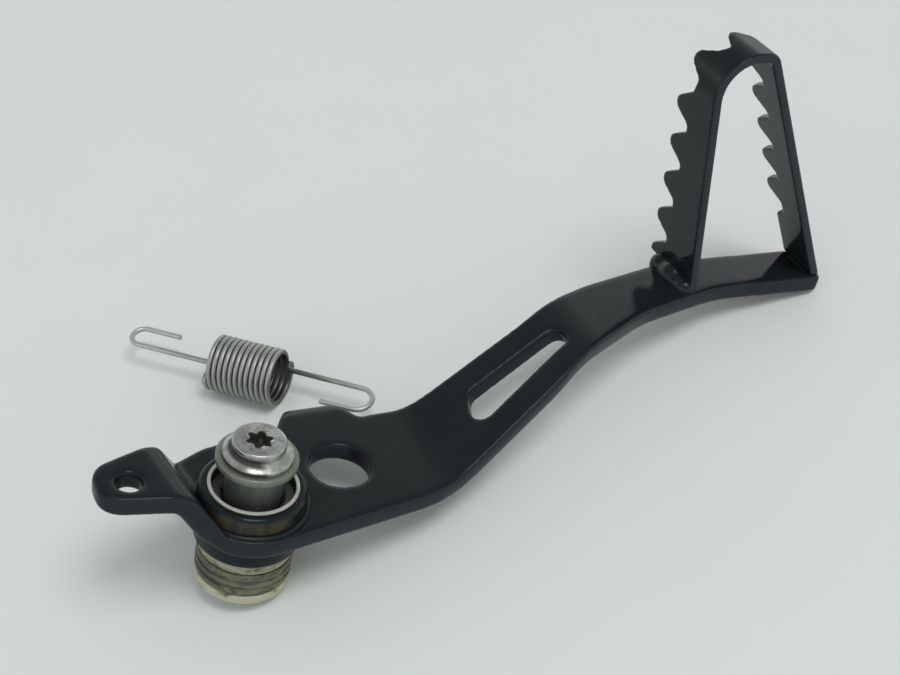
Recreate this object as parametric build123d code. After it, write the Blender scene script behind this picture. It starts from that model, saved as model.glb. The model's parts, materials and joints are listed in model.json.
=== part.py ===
from build123d import *
import math
import os

# Rear brake pedal of a motorbike, right-hand side, with its pivot hardware and its unhooked return spring.
# It is drawn in the pivot frame, in millimetres: Z runs along the pivot axis and away from the bike, X runs
# forward along the lever, Y is up on the bike, and Z = 0 is the underside of the lever at the pivot.
# Every piece is then laid on the bench, where the pedal rests on its seat washer and on the tip of the lever.

# Lever plate: one blank, folded
plate = 6.0
eye_wall = 2.4
tip_x = 210.0
tip_front_y = 33.3
tip_back_y = 50.8
tip_front_r = 2.0
tip_back_r = 4.0
front_knee = (51.5, -9.2)
front_middle = (95.0, 6.6)
front_heel = (135.2, 26.7)
front_end = (168.5, 34.6)
back_knee = (54.0, 27.6)
back_middle = (97.0, 35.0)
back_heel = (122.0, 43.7)
back_end = (158.0, 51.9)
back_root = (17.0, 26.6)
back_shoulder = (-6.0, 23.6)
edge_sweep_r = 60.0
back_shoulder_r = 12.0

# Joggle that carries the tip outward
bend_1_x = 59.0
joggle_rise = 26.0
joggle_angle = 30.0
joggle_bend_r = 24.0

# Rear pushrod tab, raised by a double fold
tab_raise = 12.0
tab_fold_x = -20.6
tab_fold_angle = 56.0
tab_fold_r = 2.5
tab_skew = 9.0
tab_end_x = -42.1
tab_front_y = -4.2
tab_back_y = 8.8
tab_back_root = (-25.0, 14.6)
tab_front_root = (-19.5, -8.3)
tab_eye_y = -12.5
tab_end_r = 7.0
tab_hole = (-33.4, 1.5)
tab_hole_d = 7.0

# Lightening cuts
access_hole = (28.8, 7.8)
access_hole_d = 17.4
slot_foot_near = (11.8, 7.3)
slot_foot_far = (15.8, 20.9)
slot_head_near = (50.5, 19.8)
slot_head_far = (50.5, 26.4)
slot_foot_r = 3.8
slot_head_r = 2.8

# Stop lug, folded down behind the back edge
lug_from_x = 22.6
lug_to_x = 36.6
lug_flare = 6.2
lug_fold_y = 30.6
lug_fold_r = 1.5
lug_drop = 9.0

# Foot step: one toothed strap, folded to a leaning arch
strap = 3.0
step_height = 82.2
step_base = 52.8
step_top = 21.6
step_rear_lean = 16.6
step_rear_r = 13.0
step_front_r = 5.0
step_inset = 0.8
step_front_y = 34.5
step_far_y = 80.0
tooth_depth = 7.2
rear_teeth = 5
rear_pitch = 14.6
rear_low_crest = 0.9
rear_tip_y = 59.3
rear_tip_taper = 0.09
front_teeth = 5
front_pitch = 13.6
front_low_crest = 32.5
front_tip_y = 53.3
front_tip_taper = 0.052
front_land = 20.2
front_land_drop = 2.5

# Each tooth's runs and rounds, as shares of its pitch
crest_share = 0.23
lower_share = 0.24
upper_share = 0.355
crest_round = 0.165
root_round = 0.11
notch_round = 0.055

# Shoulder and crown of the step, over the rear bend
shoulder_shift = 2.3
shoulder_tip_y = 51.1
crown_tip_y = 51.0
crown_turn = 37.5
crown_gullet_near = (-0.9, 45.0)
crown_gullet_far = (2.3, 43.2)
crown_flank_run = 3.3
crown_r = 4.8
corner_run = 5.9

# Weld beads
rear_bead_r = 4.6
rear_bead_step = 4.6
front_weld = 2.5
front_weld_inset = 1.5
boss_weld = 1.5

# Pivot boss and bushes
boss_r = 14.7
boss_wall = 2.4
boss_top = 5.5
boss_under = 6.0
boss_round = 1.0
bush_rim = 1.0
bush_proud = 0.4
bush_inset = 1.7
bush_flange = 3.4
bush_split = 1.0
running_gap = 0.05
end_gap = 0.3
seal = 2.6
seal_gap = 0.3
seal_pocket = 6.2
lower_seal_r = 10.6

# Pivot collar, bolt and spacer
collar_r = 7.9
collar_bore_r = 4.25
collar_flange_r = 11.05
collar_flange = 2.4
collar_stand = 7.8
bolt_r = 4.0
bolt_flange_r = 9.5
bolt_flange = 1.1
bolt_cone = 2.0
bolt_head_r = 7.2
bolt_head = 2.1
recess_r = 3.75
recess_lobe_r = 0.95
recess_depth = 3.2
spacer_r = 13.2
spacer = 7.5
spacer_groove = 0.4
spacer_groove_w = 0.8
washer_r = 13.3
washer = 2.8
fit_gap = 0.05
turned_edge = 0.4

# Return spring, lying on the bench; each hook has the offsets of its leg and of its return leg
wire = 1.7
coil_r = 8.1
coil_turns = 13
coil_gap = 0.08
spring_middle = (25.8, 68.4)
spring_turn = -43.7
hook_reach = 30.0
hook_return = 15.0
hook_bend = 1.5
hook_joint = 0.52
hook_turn = 0.49
left_hook = (-0.9, 6.4)
right_hook = (-4.3, 5.1)

# Worked out from the sizes above
end_top = plate + joggle_rise
eye_r = boss_r + eye_wall
boss_bore_r = boss_r - boss_wall
bush_flange_r = boss_r - bush_inset
rim_top = plate + boss_top
rim_low = -boss_under
collar_under = rim_top + collar_stand
flange_top = collar_under + collar_flange
bush_low = rim_low - bush_flange
spacer_top = bush_low - end_gap
spacer_low = spacer_top - spacer
seat_z = spacer_low - washer
joggle_run = joggle_rise / math.tan(math.radians(joggle_angle))
web_run = tab_raise / math.tan(math.radians(tab_fold_angle))
tab_line = tab_fold_x - (tab_fold_r + plate) * math.tan(math.radians(tab_fold_angle / 2))
front_base_x = tip_x - step_inset
rear_base_x = front_base_x - step_base
crown_x = rear_base_x - step_rear_lean
step_peak = end_top + step_height
rear_turn = math.pi / 2 + math.atan2(step_rear_lean, step_height)
front_lean = math.atan2(front_base_x - crown_x - step_top, step_height)
bench_dir = math.atan2(tip_back_y - tip_back_r, tip_x - tip_back_r)
tip_reach = math.hypot(tip_back_y - tip_back_r, tip_x - tip_back_r) + tip_back_r
bench_tilt = math.degrees(math.atan2(joggle_rise - seat_z, tip_reach - washer_r))
bench_z = -washer_r * math.sin(math.radians(bench_tilt))


def ring(outer, inner, low, high):
    """A plain turned ring on the pivot axis."""
    blank = Cylinder(outer, high - low) - Cylinder(inner, high - low)
    return Pos(0, 0, (low + high) / 2) * blank


def turned(points):
    """A solid turned about the pivot axis from (radius, height) points."""
    return revolve(Plane.XZ * make_face(Polyline(*points, close=True)), Axis.Z)


def tangent_on_eye(point):
    """Where the lever's front edge, running to a point, leaves the round eye."""
    angle = math.atan2(point[1], point[0]) - math.acos(eye_r / math.hypot(*point))
    return (eye_r * math.cos(angle), eye_r * math.sin(angle))


def lever_outline():
    """The lever's outline in plan: round eye, S-shaped arm, rounded tip and rear tab."""
    points = [
        (tab_end_x, tab_front_y),
        tab_front_root,
        (0, tab_eye_y),
        tangent_on_eye(front_knee),
        front_knee,
        front_middle,
        front_heel,
        front_end,
        (tip_x, tip_front_y),
        (tip_x, tip_back_y),
        back_end,
        back_heel,
        back_middle,
        back_knee,
        back_root,
        back_shoulder,
        tab_back_root,
        (tab_end_x, tab_back_y),
    ]
    tab = [tab_end_r, 0, 0, 0]
    arm = [edge_sweep_r] * 4 + [tip_front_r, tip_back_r] + [edge_sweep_r] * 4
    back = [0, back_shoulder_r, back_shoulder_r, tab_end_r]
    return make_face(FilletPolyline(*points, radius=tab + arm + back, close=True)) + Circle(eye_r)


def folded(points, radii):
    """A wide folded sheet under the line of its top face."""
    top = FilletPolyline(*points, radius=radii)
    section = make_face(offset(top, amount=plate, side=Side.RIGHT))
    return extrude(Plane.XZ * section, amount=tip_x, both=True)


def lever_sheet():
    """The folded sheet, still wide: the skewed tab with its web, the pivot pad, the joggle and the end section."""
    high = plate + tab_raise
    tab = [(2 * tab_end_x, high), (tab_fold_x, high), (tab_fold_x + web_run, plate), (boss_r, plate)]
    arm = [(0, plate), (bend_1_x, plate), (bend_1_x + joggle_run, end_top), (2 * tip_x, end_top)]
    sheet = folded(arm, [joggle_bend_r, joggle_bend_r + plate])
    return sheet + Rot(0, 0, tab_skew) * folded(tab, [tab_fold_r + plate, tab_fold_r])


def stop_lug():
    """The lug, drawn as a folded strip and trimmed to its flared sides."""
    corner_r = lug_fold_r + plate
    strip = FilletPolyline(
        (back_root[1] - plate, plate),
        (lug_fold_y + corner_r, plate),
        (lug_fold_y + corner_r, -lug_drop),
        radius=corner_r,
    )
    section = make_face(offset(strip, amount=plate, side=Side.RIGHT))
    lug = extrude(Plane.YZ * section, amount=lug_to_x + lug_flare)
    far_y = lug_fold_y + corner_r
    sides = Polyline(
        (lug_from_x - lug_flare, back_root[1] - plate),
        (lug_to_x + lug_flare, back_root[1] - plate),
        (lug_to_x + lug_flare, back_root[1]),
        (lug_to_x, far_y - lug_fold_r),
        (lug_to_x, far_y),
        (lug_from_x, far_y),
        (lug_from_x, far_y - lug_fold_r),
        (lug_from_x - lug_flare, back_root[1]),
        close=True,
    )
    return lug & extrude(make_face(sides), amount=4 * plate, both=True)


def slot_cutter():
    """The tapered slot, cut square to the sloping middle of the lever."""
    slope = Plane(
        (bend_1_x, 0, plate),
        x_dir=(math.cos(math.radians(joggle_angle)), 0, math.sin(math.radians(joggle_angle))),
        z_dir=(-math.sin(math.radians(joggle_angle)), 0, math.cos(math.radians(joggle_angle))),
    )
    edge = FilletPolyline(
        slot_foot_near,
        slot_head_near,
        slot_head_far,
        slot_foot_far,
        radius=[slot_foot_r, slot_head_r, slot_head_r, slot_foot_r],
        close=True,
    )
    return extrude(slope * make_face(edge), amount=2 * plate, both=True)


def behind_tab_line():
    """All that lies behind the tab's upper fold, where the flat tab is told apart from the plate."""
    return Rot(0, 0, tab_skew) * Pos(tab_line - tip_x, 0, 0) * Box(2 * tip_x, 2 * tip_x, 2 * tip_x)


def lever_blank():
    """The folded lever, whole, with its holes."""
    blank = lever_sheet() & extrude(lever_outline(), amount=2 * (tab_raise + end_top), both=True)
    blank += stop_lug()
    blank -= Pos(0, 0, plate / 2) * Cylinder(boss_r, 4 * plate)
    blank -= Pos(*access_hole, plate / 2) * Cylinder(access_hole_d / 2, 2 * plate)
    blank -= Pos(*tab_hole, plate + tab_raise) * Cylinder(tab_hole_d / 2, 4 * plate)
    return blank - slot_cutter()


def step_line():
    """The outer line of the arch in the XZ plane, from the rear foot to the front foot."""
    return FilletPolyline(
        (rear_base_x, end_top),
        (crown_x, step_peak),
        (crown_x + step_top, step_peak),
        (front_base_x, end_top),
        radius=[step_rear_r, step_front_r],
    )


def tooth(crest, tip, pitch, taper):
    """Corner points of one tooth, walking up the strap, between roots that follow the taper of the tips."""
    half = crest_share * pitch / 2
    low = half + lower_share * pitch
    high = half + upper_share * pitch
    return [
        (crest - low, tip - tooth_depth + taper * low),
        (crest - half, tip),
        (crest + half, tip),
        (crest + high, tip - tooth_depth - taper * high),
    ]


def tooth_rounds(pitch):
    """The radii at the corners of one tooth, in the same order."""
    return [root_round * pitch, crest_round * pitch, crest_round * pitch, notch_round * pitch]


def edge_cutter(plane, points, rounds, reach):
    """Cuts away all that lies behind a rounded edge line drawn on a plane."""
    line = FilletPolyline(*points, radius=rounds)
    start = line @ 0
    end = line @ 1
    shut = Polyline((end.X, end.Y), (end.X, step_far_y), (start.X, step_far_y), (start.X, start.Y))
    return extrude(plane * make_face(line + shut), amount=reach, both=True)


def leg_plane(base_x, top_x):
    """A plane on the outer side of a leg: its x runs up the leg and its y across the strap."""
    up = Vector(top_x - base_x, 0, step_height)
    return Plane((base_x, 0, end_top), x_dir=up, z_dir=up.cross(Vector(0, 1, 0)))


def rear_teeth_cutter():
    """The toothed edge of the rear leg and the lower side of the shoulder above it."""
    points = []
    rounds = []
    for i in range(rear_teeth):
        crest = rear_low_crest + rear_pitch * i
        points += tooth(crest, rear_tip_y - rear_tip_taper * crest, rear_pitch, rear_tip_taper)
        rounds += tooth_rounds(rear_pitch)
    shoulder = rear_low_crest + rear_pitch * rear_teeth + shoulder_shift
    points += tooth(shoulder, shoulder_tip_y, rear_pitch, rear_tip_taper)[:2]
    rounds += tooth_rounds(rear_pitch)[:2]
    foot = (-rear_pitch, points[1][1])
    points = [foot] + points[2:] + [(step_height + rear_pitch, shoulder_tip_y)]
    return edge_cutter(leg_plane(rear_base_x, crown_x), points, rounds[2:], step_rear_r)


def front_teeth_cutter():
    """The toothed edge of the front leg."""
    land_y = front_tip_y - front_land_drop
    points = [(-front_pitch, land_y), (front_land, land_y)]
    points.append((front_land + upper_share * front_pitch / 2, front_tip_y - tooth_depth))
    rounds = [crest_round * front_pitch, notch_round * front_pitch]
    for i in range(front_teeth):
        tip = front_tip_y - front_tip_taper * front_pitch * i
        points += tooth(front_low_crest + front_pitch * i, tip, front_pitch, front_tip_taper)
        rounds += tooth_rounds(front_pitch)
    points[-1] = (points[-2][0] + front_pitch, points[-2][1])
    rounds = rounds[:-2] + [0]
    return edge_cutter(leg_plane(front_base_x, crown_x + step_top), points, rounds, 3 * strap)


def crown_cutter():
    """The gullet over the rear bend, between the shoulder and the crown tooth with its long round crest."""
    turn = math.radians(crown_turn)
    along = Vector(math.cos(turn), 0, math.sin(turn))
    out = along.cross(Vector(0, 1, 0))
    centre = Vector(crown_x + step_rear_r * math.tan(rear_turn / 2), 0, step_peak - step_rear_r)
    plane = Plane(centre + out * step_rear_r, x_dir=along, z_dir=out)
    shoulder_x = crown_gullet_near[0] - crest_share * rear_pitch
    crown = crown_gullet_far[0] + crown_flank_run
    points = [
        (shoulder_x - corner_run, shoulder_tip_y),
        (shoulder_x, shoulder_tip_y),
        crown_gullet_near,
        crown_gullet_far,
        (crown, crown_tip_y),
        (crown + step_rear_r, crown_tip_y),
    ]
    rounds = [crest_round * rear_pitch, root_round * rear_pitch, notch_round * rear_pitch, crown_r]
    return edge_cutter(plane, points, rounds, 4 * strap)


def corner_gullet(line):
    """The open gullet at the front bend, where the teeth change hand."""
    share = 1 - (step_height / math.cos(front_lean) - step_front_r / 2) / line.length
    point = line.position_at(share)
    along = line.tangent_at(share)
    up = Vector(along.X, 0, along.Y)
    plane = Plane((point.X, 0, point.Y), x_dir=up, z_dir=up.cross(Vector(0, 1, 0)))
    points = [
        (-2 * corner_run, crown_tip_y),
        (-corner_run, crown_tip_y),
        (0, crown_tip_y - tooth_depth),
        (corner_run, crown_tip_y),
        (2 * corner_run, crown_tip_y),
    ]
    return edge_cutter(plane, points, [root_round * front_pitch] * 3, 2 * strap)


def foot_step():
    """The toothed strap: folded blank first, then its toothed back edge."""
    line = step_line()
    section = make_face(offset(line, amount=strap, side=Side.RIGHT))
    blank = Pos(0, step_front_y, 0) * extrude(Plane.XZ * section, amount=step_front_y - step_far_y)
    blank &= Pos(0, 0, step_peak) * Box(4 * tip_x, 4 * tip_x, 2 * step_height)
    blank -= rear_teeth_cutter()
    blank -= front_teeth_cutter()
    blank -= crown_cutter()
    return blank - corner_gullet(line)


def bead(x, y_from, y_to, radius, pitch):
    """A weld laid in overlapping dabs along Y, on the end section's top face."""
    dabs = max(2, round((y_to - y_from) / pitch) + 1)
    weld = Pos(x, y_from, end_top) * Sphere(radius)
    for i in range(1, dabs):
        weld += Pos(x, y_from + (y_to - y_from) * i / (dabs - 1), end_top) * Sphere(radius)
    return weld


def front_weld_bead():
    """The fillet weld in the corner inside the front leg."""
    corner_x = front_base_x - strap / math.cos(front_lean)
    up_x = corner_x - front_weld * math.sin(front_lean)
    section = Polyline(
        (corner_x, end_top),
        (corner_x - front_weld, end_top),
        (up_x, end_top + front_weld * math.cos(front_lean)),
        close=True,
    )
    low_y = step_front_y + front_weld_inset
    high_y = tip_back_y - tip_back_r
    return Pos(0, low_y, 0) * extrude(Plane.XZ * make_face(section), amount=low_y - high_y)


def boss():
    """The pivot tube, through the plate."""
    tube = ring(boss_r, boss_bore_r, rim_low, rim_top)
    rims = tube.edges().filter_by(GeomType.CIRCLE).filter_by(lambda edge: edge.radius > boss_bore_r + 0.1)
    return fillet(rims, boss_round)


def boss_weld_ring(lever):
    """The fillet weld round the boss, on top of the plate."""
    profile = [(boss_r, plate), (boss_r + boss_weld, plate), (boss_r, plate + boss_weld)]
    return turned(profile) - lever


def upper_bush():
    """The bush in the boss's outer mouth: a bearing ring with a thin rim around a seal pocket."""
    rim = rim_top + bush_proud
    floor_z = rim - seal_pocket
    bore = collar_r + running_gap
    blank = ring(boss_bore_r, bore, bush_split, floor_z)
    return blank + ring(boss_bore_r, boss_bore_r - bush_rim, floor_z, rim)


def lower_bush():
    """The flanged bush in the boss's inner mouth, with its own seal pocket."""
    bore = collar_r + running_gap
    body = ring(boss_bore_r, bore, rim_low, -bush_split)
    flange = ring(bush_flange_r, bore, bush_low, rim_low)
    return body + flange - ring(lower_seal_r, bore, bush_low, bush_low + seal)


def collar():
    """The pivot collar: the sleeve the pedal turns on, and its flange."""
    return turned(
        [
            (collar_bore_r, seat_z),
            (collar_r - turned_edge, seat_z),
            (collar_r, seat_z + turned_edge),
            (collar_r, collar_under),
            (collar_flange_r - turned_edge, collar_under),
            (collar_flange_r, collar_under + turned_edge),
            (collar_flange_r, flange_top - turned_edge),
            (collar_flange_r - turned_edge, flange_top),
            (collar_bore_r, flange_top),
        ]
    )


def bolt():
    """The flange bolt with its six-lobe recess."""
    cone_low = flange_top + bolt_flange
    cone_top = cone_low + bolt_cone
    head_top = cone_top + bolt_head
    tip = seat_z
    blank = turned(
        [
            (0, tip),
            (bolt_r - 2 * turned_edge, tip),
            (bolt_r, tip + 2 * turned_edge),
            (bolt_r, flange_top),
            (bolt_flange_r, flange_top),
            (bolt_flange_r, cone_low),
            (bolt_head_r, cone_top),
            (bolt_head_r, head_top - turned_edge),
            (bolt_head_r - turned_edge, head_top),
            (0, head_top),
        ]
    )
    star = Circle(recess_r - recess_lobe_r)
    for i in range(6):
        star += Rot(0, 0, 60 * i) * Pos(recess_r - recess_lobe_r, 0) * Circle(recess_lobe_r)
    return blank - Pos(0, 0, head_top) * extrude(star, amount=-recess_depth)


def lower_spacer():
    """The spacer under the boss, with two shallow grooves."""
    blank = ring(spacer_r, collar_r + fit_gap, spacer_low, spacer_top)
    for share in (1 / 3, 2 / 3):
        middle = spacer_low + spacer * share
        low = middle - spacer_groove_w / 2
        blank -= ring(2 * spacer_r, spacer_r - spacer_groove, low, low + spacer_groove_w)
    return blank


def spring_hook(half, run_in, lead, leg_y, back_y):
    """One open hook: return leg, half turn, leg along the axis, and the bend into the coil's first turn."""
    turn = hook_turn * abs(back_y - leg_y)
    flat = FilletPolyline(
        (-half - hook_return, back_y),
        (-half - hook_reach, back_y),
        (-half - hook_reach, leg_y),
        (-half, leg_y),
        (-half, -run_in),
        radius=[turn, turn, hook_bend],
    )
    last = math.radians(180 + lead)
    middle = (math.radians(90) + last) / 2
    points = [(-half, hook_bend * math.cos(a) - run_in, hook_bend * math.sin(a) - hook_bend) for a in (middle, last)]
    path = flat + ThreePointArc((-half, -run_in, 0), *points)
    bent = sweep(Plane(flat @ 0, z_dir=flat % 0) * Circle(wire / 2), path)
    return bent + Pos(*points[1]) * Sphere(hook_joint * wire)


def spring():
    """The return spring: a close coil and two open hooks, lying on the bench."""
    run_in = math.sqrt((coil_r - hook_bend) ** 2 - hook_bend**2)
    lead = math.degrees(math.atan2(hook_bend, run_in))
    pitch = wire + coil_gap
    length = pitch * (coil_turns - 0.5 - lead / 180)
    helix = Helix(pitch=pitch, height=length, radius=coil_r)
    coil = sweep(Plane(helix @ 0, z_dir=helix % 0) * Circle(wire / 2), helix, is_frenet=True)
    body = Plane.YZ * Pos(0, 0, -length / 2) * Rot(0, 0, 180 + lead) * coil
    body += spring_hook(length / 2, run_in, lead, *left_hook)
    body += Rot(0, 0, 180) * spring_hook(length / 2, run_in, lead, *right_hook)
    return Pos(*spring_middle, bench_z + coil_r + wire / 2) * Rot(0, 0, spring_turn) * body


def lay_on_bench(solid):
    """Tip a piece about the seat so that the pedal rests as it lies, with the seat's centre at the origin."""
    axis = Axis((0, 0, seat_z), (-math.sin(bench_dir), math.cos(bench_dir), 0))
    return Pos(0, 0, -seat_z) * solid.rotate(axis, bench_tilt)


def main():
    blank = lever_blank()
    lever = blank - behind_tab_line()
    step = foot_step()
    on_pedal = lever + step
    upper_floor = rim_top + bush_proud - seal_pocket
    bead_from = step_front_y + rear_bead_r / 2
    pieces = {
        "lever_plate": lever,
        "pushrod_tab": blank & behind_tab_line(),
        "foot_step": step,
        "rear_step_weld": bead(rear_base_x, bead_from, tip_back_y, rear_bead_r, rear_bead_step) - on_pedal,
        "front_step_weld": front_weld_bead(),
        "pivot_boss": boss(),
        "boss_weld": boss_weld_ring(lever),
        "upper_bush": upper_bush(),
        "lower_bush": lower_bush(),
        "upper_seal": ring(boss_bore_r - bush_rim, collar_r + seal_gap, upper_floor, upper_floor + seal),
        "lower_seal": ring(lower_seal_r, collar_r + seal_gap, bush_low, bush_low + seal),
        "pivot_collar": collar(),
        "pivot_bolt": bolt(),
        "lower_spacer": lower_spacer(),
        "seat_washer": ring(washer_r, collar_r + fit_gap, seat_z, spacer_low),
    }
    os.makedirs("parts", exist_ok=True)
    for name, piece in pieces.items():
        export_step(lay_on_bench(piece), f"parts/{name}.step")
    export_step(spring(), "parts/return_spring.step")


main()
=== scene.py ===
"""Rear brake pedal of a motorbike, with its pivot hardware and its unhooked return spring.

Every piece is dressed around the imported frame, in metres. Turned pieces, welds and the spring are drawn in
the pivot frame: Z runs along the pivot axis, and height 0 is the underside of the lever at the pivot.
"""

import json
import math

import bmesh
import bpy
from mathutils import Matrix, Vector


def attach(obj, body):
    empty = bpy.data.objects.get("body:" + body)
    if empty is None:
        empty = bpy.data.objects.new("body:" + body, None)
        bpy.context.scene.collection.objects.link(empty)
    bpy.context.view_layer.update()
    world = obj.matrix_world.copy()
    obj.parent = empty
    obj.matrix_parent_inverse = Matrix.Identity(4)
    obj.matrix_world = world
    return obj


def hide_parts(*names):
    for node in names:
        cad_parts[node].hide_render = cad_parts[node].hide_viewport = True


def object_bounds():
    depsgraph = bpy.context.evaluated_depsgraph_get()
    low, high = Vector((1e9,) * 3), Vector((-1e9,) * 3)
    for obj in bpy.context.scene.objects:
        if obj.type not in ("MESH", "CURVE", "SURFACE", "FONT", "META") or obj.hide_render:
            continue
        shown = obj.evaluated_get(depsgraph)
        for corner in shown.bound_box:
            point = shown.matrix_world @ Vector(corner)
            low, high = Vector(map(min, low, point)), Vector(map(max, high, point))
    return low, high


bl_info = {
    "name": "Rear Brake Pedal",
    "version": (1, 0, 0),
    "blender": (4, 5, 0),
    "location": "View3D > Sidebar > Pedal",
    "description": "Dresses a rear brake pedal, its pivot hardware and its return spring",
    "category": "Object",
}

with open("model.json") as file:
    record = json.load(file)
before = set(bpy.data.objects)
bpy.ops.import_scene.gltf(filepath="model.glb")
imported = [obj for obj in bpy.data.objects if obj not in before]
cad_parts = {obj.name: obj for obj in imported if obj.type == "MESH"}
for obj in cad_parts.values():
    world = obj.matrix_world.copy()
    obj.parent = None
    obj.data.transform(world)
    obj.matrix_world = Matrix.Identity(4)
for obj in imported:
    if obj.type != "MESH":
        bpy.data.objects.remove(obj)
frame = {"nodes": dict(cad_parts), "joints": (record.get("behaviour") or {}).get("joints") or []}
CAD_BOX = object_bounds()
MM = 0.001

# The pivot axis leans from upright, as the pedal lies on the bench
PIVOT_AXIS = -Vector(frame["joints"][0]["axis"])
LEAN_ANGLE = PIVOT_AXIS.angle(Vector((0, 0, 1)))
LEAN_AXIS = Vector((-PIVOT_AXIS.y, PIVOT_AXIS.x, 0)).normalized()
LEAN = Matrix.Rotation(LEAN_ANGLE, 3, LEAN_AXIS)

PEDAL = "pedal"
HARDWARE = "pivot_hardware"


def length(name, description, millimetres):
    """A length property, given in millimetres and held in metres."""
    return bpy.props.FloatProperty(
        name=name, description=description, default=millimetres * MM, unit="LENGTH", precision=5
    )


def place(name, description, millimetres):
    """A point property, given in millimetres and held in metres."""
    return bpy.props.FloatVectorProperty(
        name=name,
        description=description,
        default=[value * MM for value in millimetres],
        size=3,
        subtype="TRANSLATION",
        unit="LENGTH",
        precision=5,
    )


def direction(name, description, value):
    """A direction property."""
    return bpy.props.FloatVectorProperty(
        name=name, description=description, default=value, size=3, subtype="DIRECTION"
    )


def colour(name, description, value):
    """A colour property, linear."""
    return bpy.props.FloatVectorProperty(
        name=name, description=description, default=value, size=3, subtype="COLOR", min=0.0, max=1.0
    )


def power(name, description, watts):
    """A lamp's power."""
    return bpy.props.FloatProperty(name=name, description=description, default=watts, min=0.0, unit="POWER")


def count(name, description, value):
    """A whole number of things."""
    return bpy.props.IntProperty(name=name, description=description, default=value, min=1)


class PressedSizes(bpy.types.PropertyGroup):
    """Edge rounding of the pressed and folded steel."""

    lever_grain: length("Lever grain", "Grain of the lever plate's skin", 0.48)
    lever_rounds: count("Lever rounds", "Rounds of softening on the lever plate's edges", 46)
    step_grain: length("Step grain", "Grain of the foot step's skin", 0.31)
    step_rounds: count("Step rounds", "Rounds of softening on the foot step's edges", 26)


class PivotSizes(bpy.types.PropertyGroup):
    """Turned pieces on the pivot axis, as heights above the lever's underside."""

    seat_depth: length("Seat depth", "From the lever's underside down to the seat", 20.0)
    boss_radius: length("Boss radius", "Outside of the pivot tube", 14.7)
    boss_bore: length("Boss bore", "Inside of the pivot tube", 12.3)
    boss_high: length("Boss top", "Upper end of the pivot tube", 11.5)
    boss_low: length("Boss foot", "Lower end of the pivot tube", -6.0)
    boss_round: length("Boss edge", "Radius on the tube's outer edges", 1.6)
    bush_bore: length("Bush bore", "Running bore of both bushes", 7.95)
    bush_split: length("Bush split", "Half of the grease gap between the bushes", 1.0)
    rim_high: length("Rim height", "Top of the upper bush's rim", 11.9)
    rim_wall: length("Rim wall", "Thickness of the upper bush's rim", 1.0)
    pocket_depth: length("Seal pocket", "Depth of the seal pocket in the upper bush", 6.2)
    bush_flange: length("Bush flange", "Radius of the lower bush's flange", 13.0)
    flange_low: length("Flange foot", "Underside of the lower bush's flange", -9.4)
    seal_high: length("Seal", "Height of a dust seal", 2.6)
    seal_bore: length("Seal bore", "Inside of a dust seal", 8.2)
    lower_seal: length("Lower seal", "Outside of the lower seal", 10.6)
    collar_radius: length("Collar", "Outside of the collar's sleeve", 7.9)
    collar_bore: length("Collar bore", "Inside of the collar", 4.25)
    collar_flange: length("Collar flange", "Radius of the collar's flange", 11.05)
    collar_under: length("Collar flange foot", "Underside of the collar's flange", 19.3)
    collar_high: length("Collar top", "Upper face of the collar", 21.7)
    bolt_radius: length("Bolt shank", "Radius of the bolt's shank", 4.0)
    bolt_flange: length("Bolt flange", "Radius of the bolt's flange", 9.5)
    bolt_flange_high: length("Bolt flange rim", "Height of the flange's upright rim", 1.1)
    bolt_neck: length("Bolt neck", "Radius of the neck under the head", 6.7)
    bolt_neck_high: length("Bolt neck height", "From the collar up to the neck", 2.7)
    bolt_head: length("Bolt head", "Radius of the head", 7.2)
    bolt_head_high: length("Bolt head height", "From the collar up to the head's top", 5.2)
    recess_radius: length("Recess", "Middle radius of the six-lobe recess", 3.2)
    recess_lobe: length("Recess lobe", "How far a lobe stands out", 0.55)
    recess_depth: length("Recess depth", "Depth of the recess", 3.2)
    spacer_radius: length("Spacer", "Outside of the lower spacer", 13.2)
    spacer_bore: length("Spacer bore", "Inside of the spacer and the seat washer", 7.95)
    spacer_high: length("Spacer top", "Upper end of the spacer", -9.7)
    spacer_low: length("Spacer foot", "Lower end of the spacer", -17.2)
    groove_depth: length("Groove depth", "Depth of the spacer's grooves", 0.4)
    groove_width: length("Groove width", "Width of the spacer's grooves", 0.8)
    washer_radius: length("Seat washer", "Outside of the seat washer", 13.3)
    turned_edge: length("Turned edge", "Radius on turned edges", 0.4)
    segments: count("Segments", "Facets round a turned piece", 144)


class WeldSizes(bpy.types.PropertyGroup):
    """Weld beads, laid as overlapping dabs."""

    rear_from: place("Rear bead start", "Where the bead at the rear leg starts", (155.6, 36.6, 31.4))
    rear_to: place("Rear bead end", "Where the bead at the rear leg ends", (155.6, 50.2, 31.4))
    rear_radius: length("Rear bead", "Radius of a dab at the rear leg", 5.2)
    rear_pitch: length("Rear pitch", "Step between dabs at the rear leg", 3.0)
    front_from: place("Front bead start", "Where the bead at the front leg starts", (205.4, 36.4, 31.3))
    front_to: place("Front bead end", "Where the bead at the front leg ends", (205.4, 46.4, 31.3))
    front_radius: length("Front bead", "Radius of a dab at the front leg", 1.1)
    front_pitch: length("Front pitch", "Step between dabs at the front leg", 1.2)
    ring_radius: length("Ring radius", "Middle of the weld round the boss", 15.1)
    ring_high: length("Ring height", "Height of that weld above the lever's underside", 5.7)
    ring_bead: length("Ring bead", "Radius of a dab round the boss", 0.9)
    ring_pitch: length("Ring pitch", "Step between dabs round the boss", 0.6)
    fuse: length("Fuse", "Grain at which dabs run together", 0.3)


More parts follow.
